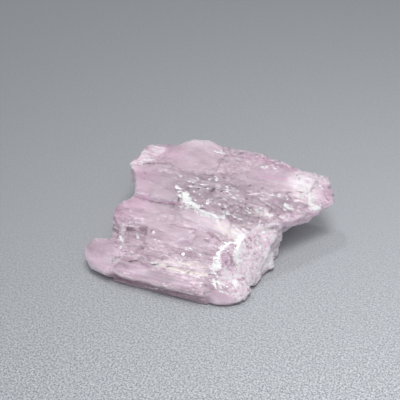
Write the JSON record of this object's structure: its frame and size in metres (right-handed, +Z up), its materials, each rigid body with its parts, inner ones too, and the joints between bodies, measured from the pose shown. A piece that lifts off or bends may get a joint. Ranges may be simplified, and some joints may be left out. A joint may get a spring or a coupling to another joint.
{
  "type": "raw kunzite crystal",
  "caption": "Raw pale pink kunzite crystal, a stepped tablet of parallel blades with etched faces, lying on its broad side.",
  "frame": {"origin": "middle of the crystal's box, on the ground that the crystal lies on", "axes": "+X along the blades and striations (the c axis), +Y away from the broken front edge, +Z up off the resting face"},
  "size_m": [0.0382, 0.0296, 0.0114],
  "materials": {
    "kunzite": "clear to milky pale pink, etched and striated, glassy on the worn ends and sugary on the break"
  },
  "bodies": {
    "root": {"kunzite_crystal": "kunzite"}
  },
  "joints": []
}
